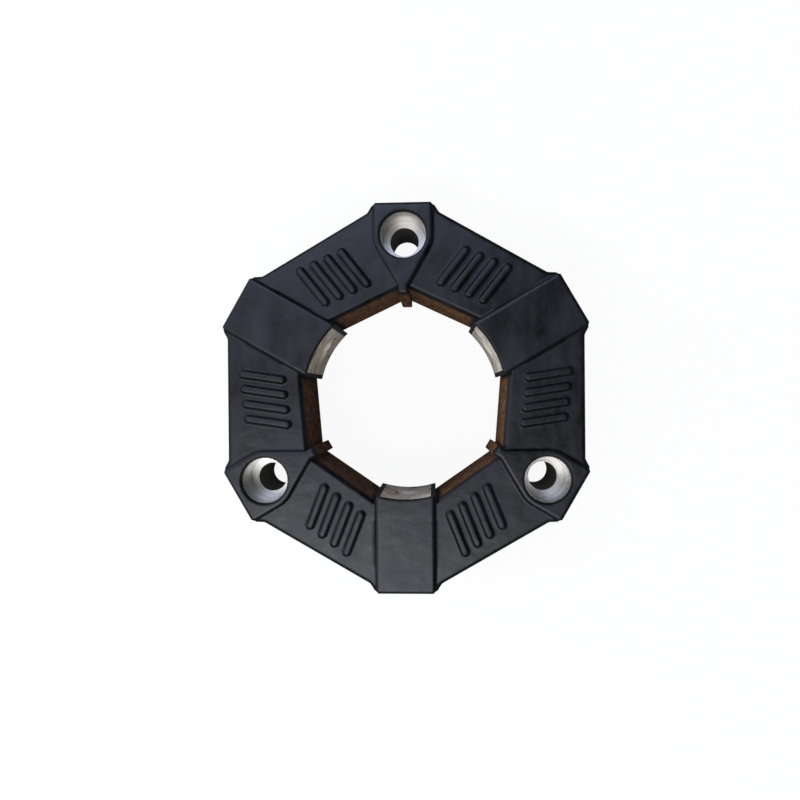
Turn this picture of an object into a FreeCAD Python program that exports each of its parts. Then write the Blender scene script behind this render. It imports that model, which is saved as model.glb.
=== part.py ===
# Hexagonal flexible shaft coupling element: one moulded rubber ring with six aluminium inserts
# bonded into it. Three axial inserts take screws along the shaft axis into a flange, and three
# radial inserts take screws towards the shaft into a hub. The ring lies on its back face:
# Z runs along the shaft axis, the origin is on that axis at the back face, and +Y points at
# the first axial insert. Millimetres.
import FreeCAD, Part
import os
import re

import Sketcher

# Name, value and meaning of each driving dimension.
SIZES = [
    ("thickness", "57", "between the raised faces, front to back"),
    ("bolt_circle", "165", "diameter of the circle of axial screws"),
    ("side_margin", "8", "bolt circle to a flat side of the hexagon"),
    ("boss_margin", "16.2", "bolt circle to the flat end of a corner boss"),
    ("boss_width", "30.6", "across a corner boss and its raised band"),
    ("boss_flare", "32", "degrees that a boss flank leans outwards"),
    ("boss_root_radius", "3.2", "hollow where a boss flank meets the side"),
    ("boss_corner_cut", "1.4", "cut off each upright corner of a boss"),
    ("land_height", "2.2", "raised faces above the web between them"),
    ("land_rounding", "2", "rounding of the edges of the raised faces at the front"),
    ("back_land_bevel", "0.8", "bevel along the edges of the raised faces at the back"),
    ("web_bevel", "1.6", "bevel along the outer and inner edges of the web"),
    ("hub_diameter", "102.4", "round of the hub that the pads grip"),
    ("hub_clearance", "0.3", "hub to a flat of the opening"),
    ("inner_lean", "4.7", "degrees that an inner flat is turned to the axial corner"),
    ("nub_clearance", "1.3", "hub to the tip of the nub in an axial corner"),
    ("nub_width", "5.4", "across a nub"),
    ("nub_length", "4.0765", "tip of a nub to the shoulder where the teardrop widens"),
    ("lip_clearance", "0.3", "hub to the rubber lips beside a pad"),
    ("rib_count", "4", "ribs in each group"),
    ("rib_length", "24.5", "end to end of a rib"),
    ("rib_width", "4.5", "across the foot of a rib"),
    ("rib_end_cut", "1.4", "cut off each corner of a rib's end"),
    ("rib_height", "1.9", "rib above the web"),
    ("rib_bevel", "1.2", "bevel along the top of a rib"),
    ("rib_pitch", "7.65", "from one rib to the next"),
    ("rib_lean", "8.5", "degrees that the ribs lean to the radial corner"),
    ("rib_row_lean", "6.4", "degrees that the row of ribs is turned"),
    ("skin", "2.5", "rubber over the flat ends of the inserts"),
    ("hole_diameter", "15", "screw hole, for an M14 screw"),
    ("recess_diameter", "22.9", "recess for the head of a socket screw"),
    ("recess_relief", "0.9", "rubber opening beyond the wall of a recess"),
    ("axial_recess_depth", "20.6", "front face to the seat of an axial screw"),
    ("radial_recess_depth", "24", "boss flat to the seat of a radial screw"),
    ("axial_wall", "2.2", "aluminium around an axial recess"),
    ("axial_nose_radius", "4", "nose of an axial insert"),
    ("axial_end_wall", "1.4", "aluminium around the recess at the bare back end"),
    ("pad_width", "25.7", "across a hub pad"),
    ("radial_wall", "4.9", "aluminium beside a radial recess"),
    ("radial_neck", "6.8", "hub to the end of the narrow neck of a radial insert"),
    ("radial_shoulder", "5", "along the axis of a radial insert's sloping shoulder"),
    ("radial_end_rubber", "8.25", "rubber between a radial insert and the boss flat"),
    ("radial_end_radius", "9", "rounding of the outer end of a radial insert"),
]
CORNERS = 6
CORNER_STEP = 360 // CORNERS
HALF_STEP = CORNER_STEP // 2
INSERTS_OF_A_KIND = 3
SECTOR = 2 * CORNER_STEP
NEAR = 1e-3

doc = FreeCAD.newDocument("ShaftCoupling")
sheet = doc.addObject("Spreadsheet::Sheet", "Sizes")
for row, (alias, amount, meaning) in enumerate(SIZES, 1):
    sheet.set(f"A{row}", amount)
    sheet.set(f"B{row}", meaning)
    sheet.setAlias(f"A{row}", alias)
doc.recompute()

ALIAS = re.compile(r"\b(" + "|".join(alias for alias, amount, meaning in SIZES) + r")\b")
BOSS_HALF = "boss_width / 2"
BOLT_RADIUS = "bolt_circle / 2"
SIDE_APOTHEM = f"({BOLT_RADIUS} + side_margin)"
BOSS_REACH = f"({BOLT_RADIUS} + boss_margin)"
HUB_RADIUS = "hub_diameter / 2"
INNER_APOTHEM = f"({HUB_RADIUS} + hub_clearance)"
LIP_RADIUS = f"({HUB_RADIUS} + lip_clearance)"
NUB_TIP = f"({HUB_RADIUS} + nub_clearance)"
SHOULDER_TO_BOLT = f"({BOLT_RADIUS} - {NUB_TIP} - nub_length)"
# A teardrop's side runs from its shoulder to the round about the screw, and touches that round.
TAPER = (f"(asin({BOSS_HALF} / sqrt({SHOULDER_TO_BOLT} ^ 2 + (nub_width / 2) ^ 2))"
         f" - atan(nub_width / 2 / {SHOULDER_TO_BOLT}))")
RADIAL_NECK_END = f"({HUB_RADIUS} + radial_neck)"
RADIAL_INSERT_REACH = f"({BOSS_REACH} - radial_end_rubber)"
HOLE_RADIUS = "hole_diameter / 2"
RECESS_RADIUS = "recess_diameter / 2"
OPENING_RADIUS = "recess_diameter / 2 + recess_relief"
WEB_THICKNESS = "thickness - 2 * land_height"
INSERT_THICKNESS = "thickness - 2 * skin"


def bound(formula):
    """Points each name in a formula at its cell in the sheet of sizes."""
    return ALIAS.sub(r"Sizes.\1", formula)


def value(formula):
    """Works a formula out as a plain number."""
    result = sheet.evalExpression(bound(formula))
    return float(getattr(result, "Value", result))


def turned(across, along, angle):
    """X and Y formulas of a point given across and along a ray at an angle from +Y."""
    x = f"({across}) * cos({angle}) - ({along}) * sin({angle})"
    y = f"({across}) * sin({angle}) + ({along}) * cos({angle})"
    return x, y


def origin_part(body, role):
    """A plane or an axis of the body's own origin."""
    return next(part for part in body.Origin.OriginFeatures if part.Role == role)


def new_body(name):
    """An empty body."""
    return doc.addObject("PartDesign::Body", name)


def new_sketch(body, name, plane="XY_Plane", lift=None):
    """An empty sketch on a plane of the body, or lifted off it along its normal."""
    sketch = body.newObject("Sketcher::SketchObject", name)
    sketch.AttachmentSupport = (origin_part(body, plane), [""])
    sketch.MapMode = "FlatFace"
    if lift:
        sketch.setExpression("AttachmentOffset.Base.z", bound(lift))
    return sketch


def tie(sketch, constraint, formula):
    """Adds a constraint whose amount follows a formula."""
    index = sketch.addConstraint(constraint)
    sketch.setExpression(f"Constraints[{index}]", bound(formula))


def pin_point(sketch, curve, end, x, y):
    """Fixes a point of a sketch at X and Y formulas."""
    for kind, formula, axis in (("DistanceX", x, -2), ("DistanceY", y, -1)):
        if formula == "0":
            sketch.addConstraint(Sketcher.Constraint("PointOnObject", curve, end, axis))
        else:
            tie(sketch, Sketcher.Constraint(kind, -1, 1, curve, end, value(formula)), formula)


def arc_between(start, end, radius, turn):
    """The short arc from start to end: turn is 1 where it turns left, -1 where it turns right."""
    chord = end - start
    middle = (start + end) / 2
    left = FreeCAD.Vector(-chord.y, chord.x, 0).normalize()
    rise = max(radius ** 2 - chord.Length ** 2 / 4, 0) ** 0.5
    crest = middle + left * turn * (rise - radius)
    return Part.Arc(start, crest, end)


def draw_loop(sketch, corners, arcs=None):
    """Draws a closed outline, each corner fixed by its X and Y formulas.

    arcs gives the sides that are arcs: the number of the corner that the side starts at, and
    its radius formula with 1 where the outline turns left along it, or -1 where it turns right.
    """
    arcs = arcs or {}
    points = [FreeCAD.Vector(value(x), value(y), 0) for x, y in corners]
    sides = []
    for i, start in enumerate(points):
        end = points[(i + 1) % len(points)]
        if i in arcs:
            radius, turn = arcs[i]
            curve = sketch.addGeometry(arc_between(start, end, value(radius), turn), False)
            ends = (1, 2) if turn > 0 else (2, 1)
        else:
            curve = sketch.addGeometry(Part.LineSegment(start, end), False)
            ends = (1, 2)
        sides.append((curve, *ends))
    for i, (curve, first_end, last_end) in enumerate(sides):
        following = sides[(i + 1) % len(sides)]
        sketch.addConstraint(
            Sketcher.Constraint("Coincident", curve, last_end, following[0], following[1]))
        pin_point(sketch, curve, first_end, *corners[i])
        if i in arcs:
            tie(sketch, Sketcher.Constraint("Radius", curve, value(arcs[i][0])), arcs[i][0])


def draw_circle(sketch, x, y, radius):
    """Draws a circle, its centre and radius given by formulas."""
    centre = FreeCAD.Vector(value(x), value(y), 0)
    curve = sketch.addGeometry(
        Part.Circle(centre, FreeCAD.Vector(0, 0, 1), value(radius)), False)
    pin_point(sketch, curve, 3, x, y)
    tie(sketch, Sketcher.Constraint("Radius", curve, value(radius)), radius)


def mirrored_loop(right_side):
    """Closes an outline given by its right side, from the bottom up, with its mirror image."""
    left_side = [(x if x == "0" else f"-({x})", y) for x, y in reversed(right_side)]
    return right_side + left_side


def add_pad(body, sketch, length, both_ways=True):
    """Adds a sketch as material, both ways from its plane or one way."""
    pad = body.newObject("PartDesign::Pad", f"{sketch.Name}_pad")
    pad.Profile = sketch
    pad.SideType = "Symmetric" if both_ways else "One side"
    pad.setExpression("Length", bound(length))
    return pad


def add_pocket(body, sketch, length=None, reverse=False):
    """Cuts a sketch out one way from its plane, or right through both ways with no length."""
    pocket = body.newObject("PartDesign::Pocket", f"{sketch.Name}_pocket")
    pocket.Profile = sketch
    pocket.Reversed = reverse
    if length:
        pocket.setExpression("Length", bound(length))
    else:
        pocket.SideType = "Symmetric"
        pocket.Type = "ThroughAll"
    doc.recompute()
    before = pocket.BaseFeature.Shape.Volume
    if pocket.Shape.Volume > before - NEAR:
        raise ValueError(f"{pocket.Name} cuts nothing")
    return pocket


def repeat(body, feature, count):
    """Repeats a feature evenly around the shaft axis."""
    pattern = body.newObject("PartDesign::PolarPattern", f"{feature.Name}_round")
    pattern.Originals = [feature]
    pattern.Axis = (origin_part(body, "Z_Axis"), [""])
    pattern.Angle = 360
    pattern.Occurrences = count
    body.Tip = pattern


def dress_edges(body, kind, name, wanted, amount):
    """Adds a fillet or a chamfer to the edges of the body's last feature that pass a test."""
    doc.recompute()
    base = body.Tip
    edges = [f"Edge{i}" for i, edge in enumerate(base.Shape.Edges, 1) if wanted(edge)]
    dressing = body.newObject(f"PartDesign::{kind}", name)
    dressing.Base = (base, edges)
    dressing.setExpression("Radius" if kind == "Fillet" else "Size", bound(amount))
    body.Tip = dressing


def round_edges(body, name, wanted, radius):
    """Rounds the edges of the body's last feature that pass a test."""
    dress_edges(body, "Fillet", name, wanted, radius)


def bevel_edges(body, name, wanted, size):
    """Bevels the edges of the body's last feature that pass a test."""
    dress_edges(body, "Chamfer", name, wanted, size)


def is_upright(edge):
    """True for a straight edge along Z."""
    box = edge.BoundBox
    return box.XLength < NEAR and box.YLength < NEAR


def level_of(edge):
    """The height of a level edge above or below the middle plane, or None."""
    box = edge.BoundBox
    return abs(box.ZMin) if box.ZLength < NEAR else None


def is_at(amount, formula):
    """True where an amount equals a formula."""
    return amount is not None and abs(amount - value(formula)) < NEAR


def radius_of(point):
    """Distance of a point from the shaft axis."""
    return (point.x ** 2 + point.y ** 2) ** 0.5


def make_web(body):
    """The hexagonal web with its six flared bosses and the six-sided opening."""
    outline = new_sketch(body, "web_outline")
    root_along = (f"({SIDE_APOTHEM} - ({BOSS_HALF} + {BOSS_REACH} * tan(boss_flare)) / 2)"
                  f" / (cos({HALF_STEP}) - tan(boss_flare) / 2)")
    root_across = f"{BOSS_HALF} + ({BOSS_REACH} - {root_along}) * tan(boss_flare)"
    boss = mirrored_loop([(root_across, root_along), (BOSS_HALF, BOSS_REACH)])
    draw_loop(outline, [turned(x, y, CORNER_STEP * k) for k in range(CORNERS) for x, y in boss])
    add_pad(body, outline, WEB_THICKNESS)

    tip_radius = (value(BOSS_HALF) ** 2 + value(BOSS_REACH) ** 2) ** 0.5
    root_radius = (value(root_across) ** 2 + value(root_along) ** 2) ** 0.5
    round_edges(body, "boss_roots",
                lambda edge: is_upright(edge) and abs(radius_of(edge.CenterOfMass) - root_radius) < NEAR,
                "boss_root_radius")
    bevel_edges(body, "boss_corners",
                lambda edge: is_upright(edge) and abs(radius_of(edge.CenterOfMass) - tip_radius) < NEAR,
                "boss_corner_cut")

    opening = new_sketch(body, "opening")
    corners = []
    for k in range(INSERTS_OF_A_KIND):
        axial_corner = f"{INNER_APOTHEM} / cos({HALF_STEP} - inner_lean)"
        radial_corner = f"{INNER_APOTHEM} / cos({HALF_STEP} + inner_lean)"
        corners.append(turned("0", axial_corner, SECTOR * k))
        corners.append(turned("0", radial_corner, SECTOR * k + CORNER_STEP))
    draw_loop(opening, corners)
    add_pocket(body, opening)
    web_level = f"({WEB_THICKNESS}) / 2"
    bevel_edges(body, "web_edges", lambda edge: is_at(level_of(edge), web_level), "web_bevel")


def make_axial_lands(body):
    """Raised teardrops round the axial screws, each running down to a nub in the opening."""
    land = new_sketch(body, "axial_land")
    tangent_across = f"{BOSS_HALF} * cos({TAPER})"
    tangent_along = f"{BOLT_RADIUS} - {BOSS_HALF} * sin({TAPER})"
    corners = mirrored_loop([("nub_width / 2", NUB_TIP),
                             ("nub_width / 2", f"{NUB_TIP} + nub_length"),
                             (tangent_across, tangent_along),
                             (BOSS_HALF, BOLT_RADIUS),
                             (BOSS_HALF, f"{BOSS_REACH} - boss_corner_cut"),
                             (f"{BOSS_HALF} - boss_corner_cut", BOSS_REACH)])
    draw_loop(land, corners, {2: (BOSS_HALF, 1), 8: (BOSS_HALF, 1)})
    repeat(body, add_pad(body, land, "thickness"), INSERTS_OF_A_KIND)


def make_radial_lands(body):
    """Raised bands over the radial inserts, from the boss flat to the lips at the hub."""
    land = new_sketch(body, "radial_land")
    lip_along = f"sqrt({LIP_RADIUS} ^ 2 - ({BOSS_HALF}) ^ 2)"
    right_side = [(BOSS_HALF, lip_along),
                  (BOSS_HALF, f"{BOSS_REACH} - boss_corner_cut"),
                  (f"{BOSS_HALF} - boss_corner_cut", BOSS_REACH)]
    corners = [turned(x, y, CORNER_STEP) for x, y in mirrored_loop(right_side)]
    draw_loop(land, corners, {5: (LIP_RADIUS, -1)})
    repeat(body, add_pad(body, land, "thickness"), INSERTS_OF_A_KIND)


def make_ribs(body):
    """Groups of raised ribs on both faces of the web, between the bosses."""
    ribs = new_sketch(body, "ribs")
    half = "rib_width / 2"
    end = "rib_length / 2"
    corner = [(half, f"{end} - rib_end_cut"), (f"{half} - rib_end_cut", end)]
    far_end = mirrored_loop(corner)
    near_end = [(f"-({x})", f"-({y})") for x, y in far_end]
    for side in (1, -1):
        for k in range(round(value("rib_count"))):
            step = f"({k} - (rib_count - 1) / 2) * rib_pitch"
            across = f"{step} * cos(rib_row_lean)"
            along = f"({INNER_APOTHEM} + {SIDE_APOTHEM}) / 2 + {step} * sin(rib_row_lean)"
            outline = []
            for x, y in far_end + near_end:
                leant_x, leant_y = turned(x, y, "-rib_lean")
                outline.append(turned(f"{side} * ({across} + {leant_x})", f"{along} + {leant_y}",
                                      -side * HALF_STEP))
            draw_loop(ribs, outline)
    repeat(body, add_pad(body, ribs, f"{WEB_THICKNESS} + 2 * rib_height"), INSERTS_OF_A_KIND)
    top = f"({WEB_THICKNESS}) / 2 + rib_height"
    bevel_edges(body, "rib_edges", lambda edge: is_at(level_of(edge), top), "rib_bevel")


def is_land_edge(edge, side):
    """True for an edge of the raised faces at the front (1) or the back (-1), the lips apart."""
    return (is_at(level_of(edge), "thickness / 2") and edge.CenterOfMass.z * side > 0
            and radius_of(edge.CenterOfMass) > value(LIP_RADIUS))


def make_rubber_blank():
    """The moulded rubber ring, before the inserts take their place in it."""
    body = new_body("rubber_blank")
    make_web(body)
    make_axial_lands(body)
    make_radial_lands(body)
    round_edges(body, "front_land_edges", lambda edge: is_land_edge(edge, 1), "land_rounding")
    bevel_edges(body, "back_land_edges", lambda edge: is_land_edge(edge, -1), "back_land_bevel")
    make_ribs(body)

    axial = new_sketch(body, "axial_opening")
    draw_circle(axial, "0", BOLT_RADIUS, OPENING_RADIUS)
    repeat(body, add_pocket(body, axial), INSERTS_OF_A_KIND)
    radial = new_sketch(body, "radial_opening", "XZ_Plane")
    draw_circle(radial, "0", "0", OPENING_RADIUS)
    repeat(body, add_pocket(body, radial, BOSS_REACH, True), INSERTS_OF_A_KIND)
    return body


def make_axial_insert(number):
    """A teardrop bush with a screw hole and a recess, its bare back end in the back face."""
    body = new_body(f"axial_insert_{number}")
    outer = "recess_diameter / 2 + axial_wall"
    nose_along = f"{BOLT_RADIUS} - ({outer} - axial_nose_radius) / sin({TAPER})"
    outline = new_sketch(body, f"axial_outline_{number}")
    right_side = [(f"axial_nose_radius * cos({TAPER})",
                   f"{nose_along} - axial_nose_radius * sin({TAPER})"),
                  (f"({outer}) * cos({TAPER})", f"{BOLT_RADIUS} - ({outer}) * sin({TAPER})")]
    left_side = [(f"-({x})", y) for x, y in reversed(right_side)]
    corners = right_side + [("0", f"{BOLT_RADIUS} + {outer}")] + left_side
    draw_loop(outline, corners, {1: (outer, 1), 2: (outer, 1), 4: ("axial_nose_radius", 1)})
    add_pad(body, outline, INSERT_THICKNESS)

    end = new_sketch(body, f"axial_end_{number}", lift="-thickness / 2")
    draw_circle(end, "0", BOLT_RADIUS, "recess_diameter / 2 + axial_end_wall")
    add_pad(body, end, "skin + skin / 2", both_ways=False)

    hole = new_sketch(body, f"axial_hole_{number}")
    draw_circle(hole, "0", BOLT_RADIUS, HOLE_RADIUS)
    add_pocket(body, hole)
    recess = new_sketch(body, f"axial_recess_{number}", lift="thickness / 2")
    draw_circle(recess, "0", BOLT_RADIUS, RECESS_RADIUS)
    add_pocket(body, recess, "axial_recess_depth")
    return body


def make_radial_insert(number):
    """A keystone block with a curved hub pad, a screw hole and a recess towards the boss."""
    body = new_body(f"radial_insert_{number}")
    outline = new_sketch(body, f"radial_outline_{number}")
    half_pad = "pad_width / 2"
    half_body = "recess_diameter / 2 + radial_wall"
    right_side = [(half_pad, f"sqrt(({HUB_RADIUS}) ^ 2 - ({half_pad}) ^ 2)"),
                  (half_pad, RADIAL_NECK_END),
                  (half_body, f"{RADIAL_NECK_END} + radial_shoulder"),
                  (half_body, f"{RADIAL_INSERT_REACH} - radial_end_radius"),
                  (f"{half_body} - radial_end_radius", RADIAL_INSERT_REACH)]
    draw_loop(outline, mirrored_loop(right_side),
              {3: ("radial_end_radius", 1), 5: ("radial_end_radius", 1), 9: (HUB_RADIUS, -1)})
    add_pad(body, outline, INSERT_THICKNESS)

    hole = new_sketch(body, f"radial_hole_{number}", "XZ_Plane")
    draw_circle(hole, "0", "0", HOLE_RADIUS)
    add_pocket(body, hole)
    recess = new_sketch(body, f"radial_recess_{number}", "XZ_Plane", lift=f"-{BOSS_REACH}")
    draw_circle(recess, "0", "0", RECESS_RADIUS)
    add_pocket(body, recess, "radial_recess_depth", True)
    return body


def place(body, turn):
    """Stands a body on the back face and turns it about the shaft axis."""
    body.Placement = FreeCAD.Placement(
        FreeCAD.Vector(0, 0, 0), FreeCAD.Rotation(FreeCAD.Vector(0, 0, 1), turn))
    body.setExpression("Placement.Base.z", bound("thickness / 2"))


def make_coupling():
    """Makes the inserts and the rubber ring bonded round them, and returns them by name."""
    inserts = []
    for k in range(INSERTS_OF_A_KIND):
        axial = make_axial_insert(k + 1)
        place(axial, SECTOR * k)
        radial = make_radial_insert(k + 1)
        place(radial, SECTOR * k + CORNER_STEP)
        inserts += [axial, radial]
    blank = make_rubber_blank()
    place(blank, 0)
    beds = doc.addObject("Part::MultiFuse", "insert_beds")
    beds.Shapes = inserts
    rubber = doc.addObject("Part::Cut", "rubber_body")
    rubber.Base = blank
    rubber.Tool = beds
    doc.recompute()
    return [rubber] + inserts


def check(pieces):
    """Stops if anything in the document failed, or a piece has no valid solid."""
    for thing in doc.Objects:
        if {"Invalid", "Error"} & set(thing.State):
            raise ValueError(f"{thing.Name} failed: {thing.State}")
    for piece in pieces:
        if piece.Shape.isNull() or not piece.Shape.isValid() or len(piece.Shape.Solids) != 1:
            raise ValueError(f"{piece.Name} is not one valid solid")


coupling = make_coupling()
check(coupling)
os.makedirs("parts", exist_ok=True)
for piece in coupling:
    piece.Label = piece.Name
    piece.Shape.exportStep(f"parts/{piece.Label}.step")
    print(piece.Label, round(piece.Shape.Volume), piece.Shape.BoundBox)
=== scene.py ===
"""A flexible shaft coupling element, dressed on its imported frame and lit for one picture.

The frame gives seven nodes: a moulded rubber ring and six aluminium inserts bonded into it. Their
shapes are right, so they all stay. The ring gets the small mould radii that its solid leaves sharp,
and every node gets the finish of its own making: moulded rubber, turned aluminium and blasted
aluminium. Everything is in metres, with the ring's axis on +Z and its back face on the floor.
"""

import logging
import math
from dataclasses import dataclass
from dataclasses import field
from enum import Enum

import bpy
import numpy as np
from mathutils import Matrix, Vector


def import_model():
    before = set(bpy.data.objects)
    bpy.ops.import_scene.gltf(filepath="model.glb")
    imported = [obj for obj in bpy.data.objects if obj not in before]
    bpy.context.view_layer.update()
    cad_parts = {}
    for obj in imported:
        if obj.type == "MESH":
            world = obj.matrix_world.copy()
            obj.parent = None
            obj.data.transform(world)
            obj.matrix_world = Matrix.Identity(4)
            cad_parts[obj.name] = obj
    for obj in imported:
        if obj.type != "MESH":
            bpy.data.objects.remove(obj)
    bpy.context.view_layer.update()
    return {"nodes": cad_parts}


LOG = logging.getLogger("coupling")

MM = 0.001
WHITE = "#ffffff"
# the three inserts of a kind stand a third of a turn apart
THIRD_DEGREES = 120
# a point times this loses its place along Z
FLAT = (1.0, 1.0, 0.0)

Colour = tuple[float, float, float, float]
Point = tuple[float, float, float]
Socket = bpy.types.NodeSocket
Tree = bpy.types.NodeTree


def linear(code: str) -> Colour:
    """Turn an sRGB hex colour to the linear one that a shader takes.

    Args:
        code: The colour as "#rrggbb".

    Returns:
        Linear red, green and blue with an alpha of 1.
    """
    shares = [int(code[place:place + 2], 16) / 255 for place in (1, 3, 5)]
    red, green, blue = [
        share / 12.92 if share <= 0.04045 else ((share + 0.055) / 1.055) ** 2.4 for share in shares
    ]
    return (red, green, blue, 1.0)


def add_node(tree: Tree, kind: str, inputs: dict | None = None, **settings: object) -> bpy.types.Node:
    """Add one node with its settings, its values and its links.

    Args:
        tree: The node tree that it goes into.
        kind: The node's type.
        inputs: Values or output sockets, by the name or number of the input that takes them.
        settings: The node's own properties.

    Returns:
        The new node.
    """
    node = tree.nodes.new(kind)
    for name, setting in settings.items():
        setattr(node, name, setting)
    for key, given in (inputs or {}).items():
        if isinstance(given, bpy.types.NodeSocket):
            tree.links.new(given, node.inputs[key])
        else:
            node.inputs[key].default_value = given
    return node


def new_material(name: str) -> tuple[bpy.types.Material, Tree]:
    """Make an empty node material.

    Args:
        name: The finish that it shows.

    Returns:
        The material and its cleared node tree.
    """
    material = bpy.data.materials.new(name)
    material.use_nodes = True
    material.node_tree.nodes.clear()
    return material, material.node_tree


class InsertKind(Enum):
    """The two kinds of insert, with the turn of the first one about the ring's axis in degrees."""

    AXIAL = 90
    RADIAL = 150

    def node(self, number: int) -> str:
        """Name the CAD node of insert 1, 2 or 3."""
        return f"{self.name.lower()}_insert_{number}"

    def turn(self, number: int) -> float:
        """Give the turn in radians of insert 1, 2 or 3 about the ring's axis."""
        return math.radians(self.value + THIRD_DEGREES * (number - 1))


@dataclass(frozen=True)
class MouldedRubber:
    """Natural rubber filled with carbon black, pressed in a steel mould.

    To the eye it is near black, and its soft sheen makes it slate blue. The mould leaves a fine even
    tooth, wax that has bloomed lies on it in wide cloudy patches, and the walls of the opening keep
    the brown of the bonding primer, with painted shade darkening it towards their top edge.
    """

    body: str = "#040405"
    bloom: str = "#171a21"
    bare_roughness: float = 0.23
    bloomed_roughness: float = 0.41
    ior: float = 1.52
    # bloom lies in wide clouds and in smears that a cloth has left, long in one direction
    cloud_mm: float = 26.0
    smear_mm: float = 9.0
    smear_turn: Point = (0.0, 0.0, 0.6)
    smear_stretch: Point = (1.0, 0.3, 1.0)
    # the sum of both noises where the rubber is bare, and where the bloom is full
    bare_noise: float = 0.75
    bloomed_noise: float = 1.3
    # the primer was brushed on up and down, so its streaks are long in Z
    primer: str = "#785330"
    primer_dark: str = "#33221a"
    primer_roughness: float = 0.95
    streak_mm: float = 2.2
    streak_stretch: Point = (1.0, 1.0, 0.3)
    thin_noise: float = 0.3
    thick_noise: float = 0.7
    # the primer covers the walls round the opening; towards their top edge it fades into the black
    # rubber, as painted shade under the web's front edge
    opening_radius_mm: float = 61.0
    opening_fade_mm: float = 1.5
    full_shade_mm: float = 53.5
    shade_fade_mm: float = 6.0
    # how squarely a wall has to look at the axis before it counts, and to count in full
    facing_least: float = 0.45
    facing_full: float = 0.75
    # the sine of three turns from which a wall belongs to a hub pad, and up to which it is clear
    pad_wave: float = 0.60
    clear_wave: float = 0.50
    # the cavity's fine tooth and the slow ripple of its faces
    tooth_mm: float = 0.9
    tooth_depth_mm: float = 0.05
    tooth_strength: float = 0.6
    ripple_depth_mm: float = 0.4
    ripple_strength: float = 0.65
    # every edge and foot of a mould cut by hand is a little round
    round_mm: float = 1.4
    round_samples: int = 6
    # the line where the two mould halves meet
    parting_height_mm: float = 28.5
    parting_width_mm: float = 0.9
    parting_depth_mm: float = 0.25
    parting_strength: float = 0.8

    def inward(self, tree: Tree, place: Socket, normal: Socket) -> Socket:
        """Mark the walls of the opening between the hub pads.

        A wall counts by how much it looks at the axis, which is minus the dot product of its normal
        and its flat direction from the axis, where it lies near the opening and away from the pads,
        and less towards its top edge, where the primer fades into the black rubber as painted shade.

        Args:
            tree: The material's nodes.
            place: The point on the ring.
            normal: The surface's direction there.

        Returns:
            1 on those walls and 0 elsewhere.
        """
        flat = add_node(tree, "ShaderNodeVectorMath", {0: place, 1: FLAT}, operation="MULTIPLY")
        length = add_node(tree, "ShaderNodeVectorMath", {0: flat.outputs[0]}, operation="LENGTH")
        out = add_node(tree, "ShaderNodeVectorMath", {0: flat.outputs[0]}, operation="NORMALIZE")
        facing = add_node(tree, "ShaderNodeVectorMath", {0: out.outputs[0], 1: normal},
                          operation="DOT_PRODUCT")
        parts = add_node(tree, "ShaderNodeSeparateXYZ", {0: place})
        turn = add_node(tree, "ShaderNodeMath", {0: parts.outputs["Y"], 1: parts.outputs["X"]},
                        operation="ARCTAN2")
        three = add_node(tree, "ShaderNodeMath", {0: turn.outputs[0], 1: 3.0}, operation="MULTIPLY")
        # the sine of three turns is 1 at the hub pads and -1 at the axial inserts
        wave = add_node(tree, "ShaderNodeMath", {0: three.outputs[0]}, operation="SINE")
        # the last fade lets the primer give way to black rubber towards the wall's top: painted shade
        looks, near, away, below = [
            add_node(tree, "ShaderNodeMapRange",
                     {"Value": value, "From Min": none_at, "From Max": full_at},
                     interpolation_type=fade).outputs[0]
            for value, none_at, full_at, fade in (
                (facing.outputs["Value"], -self.facing_least, -self.facing_full, "SMOOTHSTEP"),
                (length.outputs["Value"], self.opening_radius_mm * MM,
                 (self.opening_radius_mm - self.opening_fade_mm) * MM, "SMOOTHSTEP"),
                (wave.outputs[0], self.pad_wave, self.clear_wave, "SMOOTHSTEP"),
                (parts.outputs["Z"], self.full_shade_mm * MM,
                 (self.full_shade_mm - self.shade_fade_mm) * MM, "LINEAR"))
        ]
        every = looks
        for share in (near, away, below):
            every = add_node(tree, "ShaderNodeMath", {0: every, 1: share},
                             operation="MULTIPLY").outputs[0]
        return every

    def parting(self, tree: Tree, place: Socket) -> Socket:
        """Raise the thin line where the two mould halves meet, half way up the walls.

        Its height falls from 1 to 0 with the distance from that level, over half its width.

        Args:
            tree: The material's nodes.
            place: The point on the ring.

        Returns:
            The line's height from 0 to 1.
        """
        parts = add_node(tree, "ShaderNodeSeparateXYZ", {0: place})
        level = add_node(tree, "ShaderNodeMath",
                         {0: parts.outputs["Z"], 1: self.parting_height_mm * MM}, operation="SUBTRACT")
        off = add_node(tree, "ShaderNodeMath", {0: level.outputs[0]}, operation="ABSOLUTE")
        line = add_node(tree, "ShaderNodeMapRange",
                        {"Value": off.outputs[0], "From Min": self.parting_width_mm / 2 * MM,
                         "From Max": 0.0}, interpolation_type="SMOOTHSTEP")
        return line.outputs[0]

    def haze(self, tree: Tree, place: Socket) -> Socket:
        """Spread the bloom, which is the sum of a noise in clouds and one in smears.

        Args:
            tree: The material's nodes.
            place: The point on the ring.

        Returns:
            The bloom from 0 to 1.
        """
        clouds = add_node(tree, "ShaderNodeTexNoise",
                          {"Vector": place, "Scale": 1 / (self.cloud_mm * MM), "Detail": 3.0,
                           "Roughness": 0.55, "Distortion": 0.4})
        stretched = add_node(tree, "ShaderNodeMapping",
                             {"Vector": place, "Rotation": self.smear_turn,
                              "Scale": self.smear_stretch})
        smears = add_node(tree, "ShaderNodeTexNoise",
                          {"Vector": stretched.outputs[0], "Scale": 1 / (self.smear_mm * MM),
                           "Detail": 4.0, "Roughness": 0.6})
        blend = add_node(tree, "ShaderNodeMath", {0: clouds.outputs[0], 1: smears.outputs[0]},
                         operation="ADD")
        haze = add_node(tree, "ShaderNodeMapRange",
                        {"Value": blend.outputs[0], "From Min": self.bare_noise,
                         "From Max": self.bloomed_noise})
        return haze.outputs[0]

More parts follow.
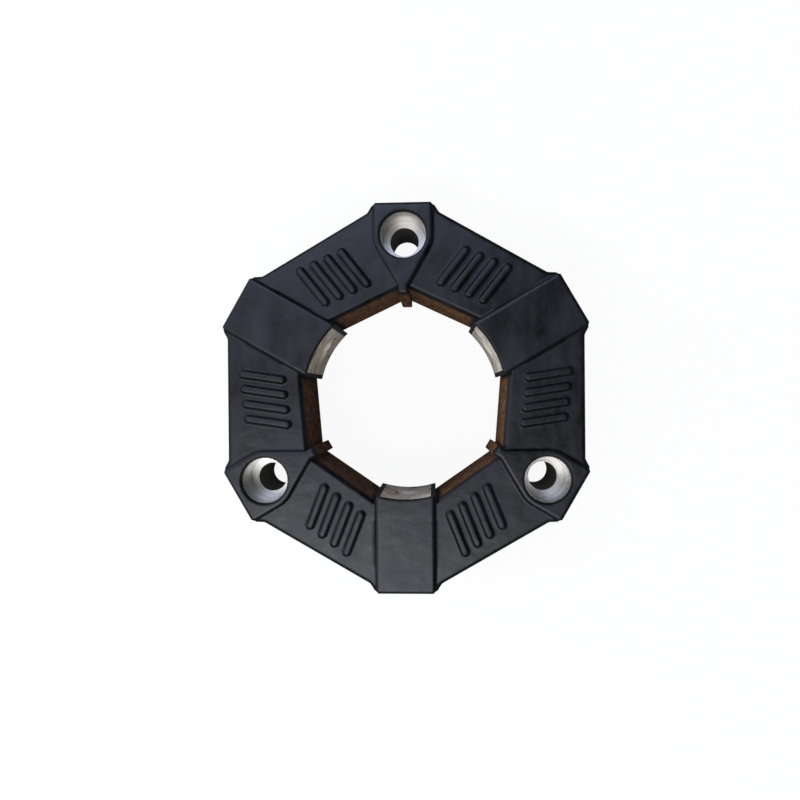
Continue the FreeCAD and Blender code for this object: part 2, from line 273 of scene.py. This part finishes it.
    def brushed_primer(self, tree: Tree, place: Socket) -> Socket:
        """Colour the primer, which is darker where its brush strokes lie thin.

        Args:
            tree: The material's nodes.
            place: The point on the ring.

        Returns:
            The primer's colour.
        """
        brushed = add_node(tree, "ShaderNodeMapping", {"Vector": place, "Scale": self.streak_stretch})
        streaks = add_node(tree, "ShaderNodeTexNoise",
                           {"Vector": brushed.outputs[0], "Scale": 1 / (self.streak_mm * MM),
                            "Detail": 3.0, "Roughness": 0.6})
        thick = add_node(tree, "ShaderNodeMapRange",
                         {"Value": streaks.outputs[0], "From Min": self.thin_noise,
                          "From Max": self.thick_noise})
        primer = add_node(tree, "ShaderNodeMix",
                          {"Factor": thick.outputs[0], 6: linear(self.primer_dark),
                           7: linear(self.primer)}, data_type="RGBA")
        return primer.outputs[2]

    def relief(self, tree: Tree, place: Socket) -> Socket:
        """Give the surface its round edges, ripple, parting line and tooth, one on the other.

        Args:
            tree: The material's nodes.
            place: The point on the ring.

        Returns:
            The surface's direction.
        """
        ripple = add_node(tree, "ShaderNodeTexNoise",
                          {"Vector": place, "Scale": 1 / (self.smear_mm * MM), "Detail": 2.0})
        tooth = add_node(tree, "ShaderNodeTexNoise",
                         {"Vector": place, "Scale": 1 / (self.tooth_mm * MM), "Detail": 2.0,
                          "Roughness": 0.5})
        soft = add_node(tree, "ShaderNodeBevel", {"Radius": self.round_mm * MM},
                        samples=self.round_samples)
        direction = soft.outputs[0]
        for height, depth_mm, strength in (
                (ripple.outputs[0], self.ripple_depth_mm, self.ripple_strength),
                (self.parting(tree, place), self.parting_depth_mm, self.parting_strength),
                (tooth.outputs[0], self.tooth_depth_mm, self.tooth_strength)):
            direction = add_node(tree, "ShaderNodeBump",
                                 {"Height": height, "Distance": depth_mm * MM, "Strength": strength,
                                  "Normal": direction}).outputs[0]
        return direction

    def build(self) -> bpy.types.Material:
        """Build the rubber, with its bloom, its primer and its relief.

        Returns:
            The material.
        """
        material, tree = new_material("moulded_rubber")
        coordinates = add_node(tree, "ShaderNodeTexCoord")
        place = coordinates.outputs["Object"]
        haze = self.haze(tree, place)
        walls = self.inward(tree, place, coordinates.outputs["Normal"])
        rubber = add_node(tree, "ShaderNodeMix",
                          {"Factor": haze, 6: linear(self.body), 7: linear(self.bloom)},
                          data_type="RGBA")
        painted = add_node(tree, "ShaderNodeMix",
                           {"Factor": walls, 6: rubber.outputs[2],
                            7: self.brushed_primer(tree, place)}, data_type="RGBA")
        satin = add_node(tree, "ShaderNodeMapRange",
                         {"Value": haze, "To Min": self.bare_roughness,
                          "To Max": self.bloomed_roughness})
        rough = add_node(tree, "ShaderNodeMix",
                         {"Factor": walls, 2: satin.outputs[0], 3: self.primer_roughness},
                         data_type="FLOAT")
        surface = add_node(tree, "ShaderNodeBsdfPrincipled",
                           {"Base Color": painted.outputs[2], "Roughness": rough.outputs[0],
                            "Normal": self.relief(tree, place), "IOR": self.ior})
        add_node(tree, "ShaderNodeOutputMaterial", {"Surface": surface.outputs[0]})
        return material


@dataclass(frozen=True)
class BoreMarks:
    """Where a point of an insert lies beside its screw hole, as outputs of the material's nodes.

    The path is the place on the tool's path, and along is the place along the screw's line. The
    others are 1 or 0: turned on every turned surface, seat within the seat's edge and hole within
    the wall of the hole.
    """

    path: Socket
    along: Socket
    turned: Socket
    seat: Socket
    hole: Socket


@dataclass(frozen=True)
class ScrewBore:
    """The line of one screw hole and how far out its turned surfaces reach.

    The recess, its seat and the hole are cut with the same tool path, so their marks are rings
    round this line, and a mark's place on the path is its distance from the line plus its place
    along it.
    """

    start: Point
    turn: float
    along_axis: bool
    turned_from_mm: float
    # distances from the line just past the recess's wall, inside it, and past the hole's wall
    recess_mm: float = 11.5
    seat_mm: float = 11.2
    hole_mm: float = 7.6

    def local(self, tree: Tree, place: Socket) -> Socket:
        """Give the point in axes whose origin is on the screw's line and whose Z is along it.

        Args:
            tree: The material's nodes.
            place: The point on the insert.

        Returns:
            The point in the screw's own axes.
        """
        shifted = add_node(tree, "ShaderNodeVectorMath", {0: place, 1: self.start},
                           operation="SUBTRACT")
        if self.along_axis:
            return shifted.outputs[0]
        # a turn about Z brings the outward direction to +X, and one about Y brings +X to +Z
        flat = add_node(tree, "ShaderNodeMapping",
                        {"Vector": shifted.outputs[0], "Rotation": (0.0, 0.0, -self.turn)})
        upright = add_node(tree, "ShaderNodeMapping",
                           {"Vector": flat.outputs[0], "Rotation": (0.0, -math.pi / 2, 0.0)})
        return upright.outputs[0]

    def marks(self, tree: Tree, place: Socket) -> BoreMarks:
        """Give the tool's path and the surfaces that it made.

        Args:
            tree: The material's nodes.
            place: The point on the insert.

        Returns:
            Where the point lies beside the screw hole.
        """
        local = self.local(tree, place)
        flat = add_node(tree, "ShaderNodeVectorMath", {0: local, 1: FLAT}, operation="MULTIPLY")
        radius = add_node(tree, "ShaderNodeVectorMath", {0: flat.outputs[0]}, operation="LENGTH")
        along = add_node(tree, "ShaderNodeSeparateXYZ", {0: local}).outputs["Z"]
        path = add_node(tree, "ShaderNodeMath", {0: radius.outputs["Value"], 1: along},
                        operation="ADD")
        recess, seat, hole = [
            add_node(tree, "ShaderNodeMath", {0: radius.outputs["Value"], 1: reach_mm * MM},
                     operation="LESS_THAN").outputs[0]
            for reach_mm in (self.recess_mm, self.seat_mm, self.hole_mm)
        ]
        past = add_node(tree, "ShaderNodeMath", {0: along, 1: self.turned_from_mm * MM},
                        operation="GREATER_THAN")
        turned = add_node(tree, "ShaderNodeMath", {0: recess, 1: past.outputs[0]},
                          operation="MULTIPLY")
        return BoreMarks(path.outputs[0], along, turned.outputs[0], seat, hole)


@dataclass(frozen=True)
class InsertAluminium:
    """Sand cast aluminium, grit blasted for bonding and turned bright in its screw hole.

    The blasted skin is dull light grey with a tan film of primer in soft blotches. The turned
    surfaces are brighter, with fine rings that draw the highlights out round the hole.
    """

    skin: str = "#e9e0d1"
    skin_light: str = "#f7f4ee"
    film: str = "#957a58"
    # the blotches' noise from which the skin is paler or filmed, and at which it is so in full
    paler_noise: tuple[float, float] = (0.5, 0.62)
    filmed_noise: tuple[float, float] = (0.47, 0.33)
    blotch_mm: float = 7.0
    grit_mm: float = 0.7
    grit_strength: float = 0.35
    skin_roughness: float = 0.52
    # the share of the blasted skin that isn't under oxide and primer
    bare_share: float = 0.25
    turned: str = "#fbf9f4"
    turned_dark: str = "#dedbd5"
    turned_share: float = 0.86
    turned_roughness: float = 0.28
    tone_mm: float = 2.5
    # the real feed of about 0.2 mm is finer than a pixel, so the rings are drawn at 0.8 mm
    feed_mm: float = 0.8
    feed_strength: float = 0.22
    mark_depth_mm: float = 0.06
    # the wall round the seat is painted duller than the turned seat, as painted shade inside the
    # recess
    recess_wall_shade: str = "#d1cdc4"
    # the hole is dull, and painted in shade: near black from a little above its back end
    hole: str = "#b4b3a6"
    hole_shade: str = "#1d1b19"
    hole_top_mm: float = 37.0
    hole_shade_full_mm: float = 8.0
    # the front end round the recess is painted near black and not metallic, as painted shade at the
    # foot of the rubber's edge
    rim_shade: str = "#0c0c0e"
    rim_shade_from_mm: float = 54.3

    def blasted_skin(self, tree: Tree, place: Socket) -> Socket:
        """Colour the blasted skin, paler where its noise is high and filmed where it is low.

        Args:
            tree: The material's nodes.
            place: The point on the insert.

        Returns:
            The skin's colour.
        """
        blotch = add_node(tree, "ShaderNodeTexNoise",
                          {"Vector": place, "Scale": 1 / (self.blotch_mm * MM), "Detail": 5.0,
                           "Roughness": 0.6, "Distortion": 0.6})
        colour = linear(self.skin)
        for (none_at, full_at), over in ((self.paler_noise, self.skin_light),
                                         (self.filmed_noise, self.film)):
            share = add_node(tree, "ShaderNodeMapRange",
                             {"Value": blotch.outputs[0], "From Min": none_at, "From Max": full_at})
            colour = add_node(tree, "ShaderNodeMix",
                              {"Factor": share.outputs[0], 6: colour, 7: linear(over)},
                              data_type="RGBA").outputs[2]
        return colour

    def turned_metal(self, tree: Tree, path: Socket) -> Socket:
        """Colour the turned metal, whose tone drifts along the tool's path.

        Args:
            tree: The material's nodes.
            path: The place on the tool's path.

        Returns:
            The turned metal's colour.
        """
        drift = add_node(tree, "ShaderNodeTexNoise",
                         {"W": path, "Scale": 1 / (self.tone_mm * MM), "Detail": 3.0},
                         noise_dimensions="1D")
        tone = add_node(tree, "ShaderNodeMix",
                        {"Factor": drift.outputs[0], 6: linear(self.turned_dark),
                         7: linear(self.turned)}, data_type="RGBA")
        return tone.outputs[2]

    def hole_wall(self, tree: Tree, along: Socket) -> Socket:
        """Colour the wall of the hole, with painted shade that darkens it with its depth.

        Args:
            tree: The material's nodes.
            along: The place along the screw's line.

        Returns:
            The wall's colour.
        """
        # painted shade: the hole's wall darkens towards its back end
        deep = add_node(tree, "ShaderNodeMapRange",
                        {"Value": along, "From Min": self.hole_top_mm * MM,
                         "From Max": self.hole_shade_full_mm * MM})
        wall = add_node(tree, "ShaderNodeMix",
                        {"Factor": deep.outputs[0], 6: linear(self.hole), 7: linear(self.hole_shade)},
                        data_type="RGBA")
        return wall.outputs[2]

    def relief(self, tree: Tree, place: Socket, marks: BoreMarks) -> Socket:
        """Give the skin its grit, and the turned metal rings whose height is a sine of the path.

        Args:
            tree: The material's nodes.
            place: The point on the insert.
            marks: Where the point lies beside the screw hole.

        Returns:
            The surface's direction.
        """
        ring = add_node(tree, "ShaderNodeMath", {0: marks.path, 1: 2 * math.pi / (self.feed_mm * MM)},
                        operation="MULTIPLY")
        wave = add_node(tree, "ShaderNodeMath", {0: ring.outputs[0]}, operation="SINE")
        grit = add_node(tree, "ShaderNodeTexNoise",
                        {"Vector": place, "Scale": 1 / (self.grit_mm * MM), "Detail": 3.0})
        height = add_node(tree, "ShaderNodeMix",
                          {"Factor": marks.turned, 2: grit.outputs[0], 3: wave.outputs[0]},
                          data_type="FLOAT")
        depth = add_node(tree, "ShaderNodeMix",
                         {"Factor": marks.turned, 2: self.grit_strength, 3: self.feed_strength},
                         data_type="FLOAT")
        bump = add_node(tree, "ShaderNodeBump",
                        {"Height": height.outputs[0], "Distance": self.mark_depth_mm * MM,
                         "Strength": depth.outputs[0]})
        return bump.outputs[0]

    def build(self, bore: ScrewBore, name: str) -> bpy.types.Material:
        """Build the material for one insert.

        Args:
            bore: The insert's screw hole.
            name: The material's name.

        Returns:
            The material.
        """
        material, tree = new_material(name)
        place = add_node(tree, "ShaderNodeTexCoord").outputs["Object"]
        marks = bore.marks(tree, place)
        # painted shade: the wall of the recess is coloured duller than its seat
        wall = add_node(tree, "ShaderNodeMath", {0: marks.turned, 1: marks.seat},
                        operation="SUBTRACT", use_clamp=True)
        in_hole = add_node(tree, "ShaderNodeMath", {0: marks.hole, 1: marks.turned},
                           operation="MULTIPLY")
        level = add_node(tree, "ShaderNodeSeparateXYZ", {0: place})
        # painted shade: the front end round the recess, outside the turned surfaces, is coloured near
        # black
        front = add_node(tree, "ShaderNodeMath",
                         {0: level.outputs["Z"], 1: self.rim_shade_from_mm * MM}, operation="GREATER_THAN")
        shaded_ledge = add_node(tree, "ShaderNodeMath", {0: front.outputs[0], 1: marks.turned},
                         operation="SUBTRACT", use_clamp=True)
        colour = self.blasted_skin(tree, place)
        for share, over in (
                (marks.turned, self.turned_metal(tree, marks.path)),
                (wall.outputs[0], linear(self.recess_wall_shade)),
                (in_hole.outputs[0], self.hole_wall(tree, marks.along)),
                (shaded_ledge.outputs[0], linear(self.rim_shade))):
            colour = add_node(tree, "ShaderNodeMix", {"Factor": share, 6: colour, 7: over},
                              data_type="RGBA").outputs[2]
        rough = add_node(tree, "ShaderNodeMix",
                         {"Factor": marks.turned, 2: self.skin_roughness, 3: self.turned_roughness},
                         data_type="FLOAT")
        shiny = add_node(tree, "ShaderNodeMix",
                         {"Factor": marks.turned, 2: self.bare_share, 3: self.turned_share},
                         data_type="FLOAT")
        # the painted shade round the recess is not metallic
        metal = add_node(tree, "ShaderNodeMix",
                         {"Factor": shaded_ledge.outputs[0], 2: shiny.outputs[0], 3: 0.0},
                         data_type="FLOAT")
        surface = add_node(tree, "ShaderNodeBsdfPrincipled",
                           {"Base Color": colour, "Metallic": metal.outputs[0],
                            "Roughness": rough.outputs[0], "Normal": self.relief(tree, place, marks)})
        add_node(tree, "ShaderNodeOutputMaterial", {"Surface": surface.outputs[0]})
        return material


@dataclass
class RubberRing:
    """The moulded ring, with the small radii that its mould leaves on every edge."""

    node: str = "rubber_body"
    merge_mm: float = 0.002
    flat_degrees: float = 1.0
    edge_radius_mm: float = 0.4
    edge_steps: int = 2
    sharp_degrees: float = 24.0
    # 50 weighs every face alike, and above it a large face outweighs the small ones of the radii
    face_weight: int = 90
    finish: MouldedRubber = field(default_factory=MouldedRubber)

    def smooth_faces(self) -> Tree:
        """Build the geometry nodes that shade every face smooth.

        Returns:
            The node group.
        """
        tree = bpy.data.node_groups.new("smooth_faces", "GeometryNodeTree")
        for way in ("INPUT", "OUTPUT"):
            tree.interface.new_socket("Geometry", in_out=way, socket_type="NodeSocketGeometry")
        given = add_node(tree, "NodeGroupInput")
        smooth = add_node(tree, "GeometryNodeSetShadeSmooth", {0: given.outputs[0]})
        add_node(tree, "NodeGroupOutput", {0: smooth.outputs[0]})
        return tree

    def round_edges(self, ring: bpy.types.Object) -> None:
        """Merge the ring's triangles to whole faces and round every edge between them.

        Args:
            ring: The ring's CAD object, whose own mesh stays as it is.
        """
        weld = ring.modifiers.new("merge", "WELD")
        weld.merge_threshold = self.merge_mm * MM
        smooth = ring.modifiers.new("smooth", "NODES")
        smooth.node_group = self.smooth_faces()
        faces = ring.modifiers.new("whole_faces", "DECIMATE")
        faces.decimate_type = "DISSOLVE"
        faces.angle_limit = math.radians(self.flat_degrees)
        bevel = ring.modifiers.new("mould_radii", "BEVEL")
        bevel.width = self.edge_radius_mm * MM
        bevel.segments = self.edge_steps
        bevel.limit_method = "ANGLE"
        bevel.angle_limit = math.radians(self.sharp_degrees)
        shading = ring.modifiers.new("flat_faces", "WEIGHTED_NORMAL")
        shading.mode = "FACE_AREA"
        shading.weight = self.face_weight

    def dress(self, nodes: dict[str, bpy.types.Object]) -> list[str]:
        """Round the ring's edges and give it its finish.

        Args:
            nodes: The CAD objects by name.

        Returns:
            The names of the pieces that it dressed.
        """
        ring = nodes[self.node]
        self.round_edges(ring)
        ring.material_slots[0].material = self.finish.build()
        return [self.node]


@dataclass
class Inserts:
    """The three inserts of one kind, each with the rings of its own screw hole."""

    kind: InsertKind
    bolt_radius_mm: float = 82.5
    middle_mm: float = 28.5
    seat_radius_mm: float = 74.7
    # the turned surfaces are marked from this far below the lowest of them
    margin_mm: float = 1.0
    finish: InsertAluminium = field(default_factory=InsertAluminium)

    def bore(self, number: int) -> ScrewBore:
        """Place the screw hole of one insert.

        An axial hole is turned from the back face on, and a radial one from its seat on, because
        behind the seat its wall is as cast.

        Args:
            number: 1, 2 or 3.

        Returns:
            The hole: along the ring's axis on the bolt circle, or outward at half height.
        """
        turn = self.kind.turn(number)
        if self.kind is InsertKind.AXIAL:
            radius = self.bolt_radius_mm * MM
            start = (radius * math.cos(turn), radius * math.sin(turn), 0.0)
            return ScrewBore(start, turn, True, -self.margin_mm)
        return ScrewBore((0.0, 0.0, self.middle_mm * MM), turn, False,
                         self.seat_radius_mm - self.margin_mm)

    def dress(self, nodes: dict[str, bpy.types.Object]) -> list[str]:
        """Give each insert its finish.

        Args:
            nodes: The CAD objects by name.

        Returns:
            The names of the pieces that it dressed.
        """
        names = [self.kind.node(number) for number in (1, 2, 3)]
        for number, name in enumerate(names, 1):
            metal = self.finish.build(self.bore(number), f"{name}_metal")
            nodes[name].material_slots[0].material = metal
        return names


@dataclass(frozen=True)
class SoftLamp:
    """A soft box: an oblong area lamp that looks at the ring, and that gloss may leave out."""

    name: str
    place: Point
    width: float
    height: float
    watts: float
    tint: str = WHITE
    target: Point = (0.0, 0.0, 0.03)
    in_gloss: bool = True

    def build(self) -> bpy.types.Object:
        """Build the lamp, with its face turned to the target.

        Returns:
            The lamp.
        """
        data = bpy.data.lights.new(self.name, "AREA")
        data.shape = "RECTANGLE"
        data.size = self.width
        data.size_y = self.height
        data.energy = self.watts
        data.color = linear(self.tint)[:3]
        lamp = bpy.data.objects.new(self.name, data)
        bpy.context.scene.collection.objects.link(lamp)
        lamp.location = self.place
        # an unturned lamp looks straight down: it tips up about X, then swings round about Z
        toward = np.array(self.target) - np.array(self.place)
        tip = math.atan2(math.hypot(toward[0], toward[1]), -toward[2])
        swing = math.atan2(toward[1], toward[0]) - math.pi / 2
        lamp.rotation_euler = (tip, 0.0, swing)
        lamp.visible_camera = False
        lamp.visible_glossy = self.in_gloss
        return lamp


@dataclass(frozen=True)
class Fade:
    """A smooth step in one value, with the low level at its start and the high one at its end."""

    start: float
    end: float
    low: float = 0.0
    high: float = 1.0


@dataclass
class Studio:
    """The pale floor, the white surroundings, the lamps and the camera."""

    floor_size: float = 6.0
    board: str = "#f6f6f6"
    board_bounce: str = "#3c3c3c"
    # the share of the board that glows white, where it is seen and in gloss
    glow: float = 0.93
    gloss_glow: float = 0.03
    sky_level: float = 0.5
    # in gloss: the dark far side, by the direction towards it
    far_side: Point = (1.0, 0.3, 0.0)
    far_fade: Fade = Fade(0.27, 0.0, 0.08, 1.0)
    # the two rows of light, by the distance from the line between them
    row_fade: Fade = Fade(0.0, 0.19, 0.15, 1.0)
    # the ceiling above the dim walls, by height
    ceiling_fade: Fade = Fade(0.45, 0.85, 0.12, 1.0)
    # the low window, by the direction towards it
    window_side: Point = (-0.85, 0.5, 0.0)
    window_fade: Fade = Fade(0.35, 0.75, 0.0, 0.85)
    # the cooler colour of the back row, by the place along Y
    back_row: str = "#dfe8ff"
    cool_fade: Fade = Fade(-0.15, 0.15)
    lens_mm: float = 32.67
    sensor_mm: float = 36.0
    tilt_degrees: float = 0.319
    sway_degrees: float = -2.791
    roll_degrees: float = 0.484
    offset_mm: tuple[float, float] = (2.118, 0.827)
    distance_mm: float = 364.2
    front_mm: float = 57.0
    nearest_seen: float = 0.01
    lamps: tuple[SoftLamp, ...] = (
        SoftLamp("front_panel", (-0.17, -0.41, 0.90), 0.62, 0.48, 2.0, "#eceffb"),
        SoftLamp("back_window", (-0.15, 0.50, 0.87), 0.60, 0.40, 1.3, "#c0d0ff"),
        SoftLamp("front_fill", (-0.18, -0.50, 0.90), 0.45, 0.45, 3.0, in_gloss=False),
        SoftLamp("left_fill", (-0.90, 0.10, 0.40), 0.5, 0.4, 7.0, "#f2f4ff", in_gloss=False),
    )

    def rays(self, tree: Tree) -> tuple[Socket, Socket]:
        """Tell the rays that see a thing apart from those that reflect it.

        Args:
            tree: The nodes of a material or of the world.

        Returns:
            1 for a ray from the camera, straight or through glass, and 1 for a glossy one.
        """
        rays = add_node(tree, "ShaderNodeLightPath")
        seen = add_node(tree, "ShaderNodeMath",
                        {0: rays.outputs["Is Camera Ray"], 1: rays.outputs["Is Transmission Ray"]},
                        operation="MAXIMUM")
        return seen.outputs[0], rays.outputs["Is Glossy Ray"]

    def build_floor(self) -> bpy.types.Object:
        """Build the floor, a matt board that is seen white, keeps the shadow and gives little light.

        Returns:
            The floor.
        """
        half = self.floor_size / 2
        mesh = bpy.data.meshes.new("floor")
        corners = np.array([(-half, -half, 0), (half, -half, 0), (half, half, 0), (-half, half, 0)])
        mesh.from_pydata(corners.tolist(), [], [(0, 1, 2, 3)])
        floor = bpy.data.objects.new("floor", mesh)
        bpy.context.scene.collection.objects.link(floor)
        material, tree = new_material("matt_white_board")
        seen, glossy = self.rays(tree)
        tone = add_node(tree, "ShaderNodeMix",
                        {"Factor": seen, 6: linear(self.board_bounce), 7: linear(self.board)},
                        data_type="RGBA")
        board = add_node(tree, "ShaderNodeBsdfDiffuse", {"Color": tone.outputs[2]})
        glow = add_node(tree, "ShaderNodeEmission", {"Color": linear(WHITE), "Strength": 1.0})
        straight = add_node(tree, "ShaderNodeMath", {0: seen, 1: self.glow}, operation="MULTIPLY")
        share = add_node(tree, "ShaderNodeMath",
                         {0: glossy, 1: self.gloss_glow, 2: straight.outputs[0]},
                         operation="MULTIPLY_ADD")
        surface = add_node(tree, "ShaderNodeMixShader",
                           {0: share.outputs[0], 1: board.outputs[0], 2: glow.outputs[0]})
        add_node(tree, "ShaderNodeOutputMaterial", {"Surface": surface.outputs[0]})
        mesh.materials.append(material)
        return floor

    def gloss_levels(self, tree: Tree) -> tuple[Socket, Socket]:
        """Give what gloss sees of the room, by the direction of the ray.

        Its level is the product of three fades, for the far side, the rows of light and the
        ceiling above the walls, or the level of the low window where that is more.

        Args:
            tree: The world's nodes.

        Returns:
            The level, and how much of the back row's colour is in it.
        """
        ray = add_node(tree, "ShaderNodeTexCoord").outputs["Generated"]
        parts = add_node(tree, "ShaderNodeSeparateXYZ", {0: ray})
        off_line = add_node(tree, "ShaderNodeMath", {0: parts.outputs["Y"]}, operation="ABSOLUTE")
        far, window = [
            add_node(tree, "ShaderNodeVectorMath", {0: ray, 1: side},
                     operation="DOT_PRODUCT").outputs["Value"]
            for side in (self.far_side, self.window_side)
        ]
        near_side, rows, ceiling, low_window, cool = [
            add_node(tree, "ShaderNodeMapRange",
                     {"Value": value, "From Min": fade.start, "From Max": fade.end,
                      "To Min": fade.low, "To Max": fade.high},
                     interpolation_type="SMOOTHSTEP").outputs[0]
            for value, fade in ((far, self.far_fade), (off_line.outputs[0], self.row_fade),
                                (parts.outputs["Z"], self.ceiling_fade), (window, self.window_fade),
                                (parts.outputs["Y"], self.cool_fade))
        ]
        level = near_side
        for factor in (rows, ceiling):
            level = add_node(tree, "ShaderNodeMath", {0: level, 1: factor},
                             operation="MULTIPLY").outputs[0]
        level = add_node(tree, "ShaderNodeMath", {0: level, 1: low_window}, operation="MAXIMUM")
        return level.outputs[0], cool

    def build_surroundings(self) -> None:
        """Build the world: white where it is seen, a room in gloss, a plain level where it lights."""
        world = bpy.data.worlds.new("studio")
        bpy.context.scene.world = world
        world.use_nodes = True
        tree = world.node_tree
        tree.nodes.clear()
        seen, glossy = self.rays(tree)
        gloss, cool = self.gloss_levels(tree)
        unseen = add_node(tree, "ShaderNodeMix", {"Factor": glossy, 2: self.sky_level, 3: gloss},
                          data_type="FLOAT")
        level = add_node(tree, "ShaderNodeMath", {0: unseen.outputs[0], 1: seen},
                         operation="MAXIMUM")
        cool_gloss = add_node(tree, "ShaderNodeMath", {0: cool, 1: glossy}, operation="MULTIPLY")
        tint = add_node(tree, "ShaderNodeMix",
                        {"Factor": cool_gloss.outputs[0], 6: linear(WHITE),
                         7: linear(self.back_row)}, data_type="RGBA")
        sky = add_node(tree, "ShaderNodeBackground",
                       {"Color": tint.outputs[2], "Strength": level.outputs[0]})
        add_node(tree, "ShaderNodeOutputWorld", {"Surface": sky.outputs[0]})

    def build_camera(self) -> bpy.types.Object:
        """Build the camera, which looks down the ring's axis a little from one side.

        Returns:
            The camera.
        """
        data = bpy.data.cameras.new("camera")
        data.lens = self.lens_mm
        data.sensor_width = self.sensor_mm
        data.clip_start = self.nearest_seen
        camera = bpy.data.objects.new("camera", data)
        bpy.context.scene.collection.objects.link(camera)
        camera.rotation_euler = [
            -math.radians(angle) for angle in (self.tilt_degrees, self.sway_degrees, self.roll_degrees)
        ]
        # the ring's centre lies at the offset and the distance in the camera's own axes
        turn = camera.rotation_euler.to_matrix()
        across, up = self.offset_mm
        place = turn @ Vector((-across, -up, self.distance_mm)) * MM
        camera.location = (place[0], place[1], place[2] + self.front_mm * MM)
        bpy.context.scene.camera = camera
        return camera

    def build(self) -> list[str]:
        """Build the whole studio and set plain colour handling.

        Returns:
            The names of what it built.
        """
        floor = self.build_floor()
        self.build_surroundings()
        lamps = [lamp.build() for lamp in self.lamps]
        camera = self.build_camera()
        bpy.context.scene.view_settings.view_transform = "Standard"
        return [thing.name for thing in (floor, *lamps, camera)]


def main() -> None:
    """Load the frame, dress its nodes, build the studio and report each piece."""
    logging.basicConfig(level=logging.INFO, format="%(name)s: %(message)s")
    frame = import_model()
    nodes = frame["nodes"]
    parts = [RubberRing(), Inserts(InsertKind.AXIAL), Inserts(InsertKind.RADIAL)]
    for part in parts:
        for name in part.dress(nodes):
            LOG.info("dressed %s", name)
    for name in Studio().build():
        LOG.info("built %s", name)


if __name__ == "__main__":
    main()
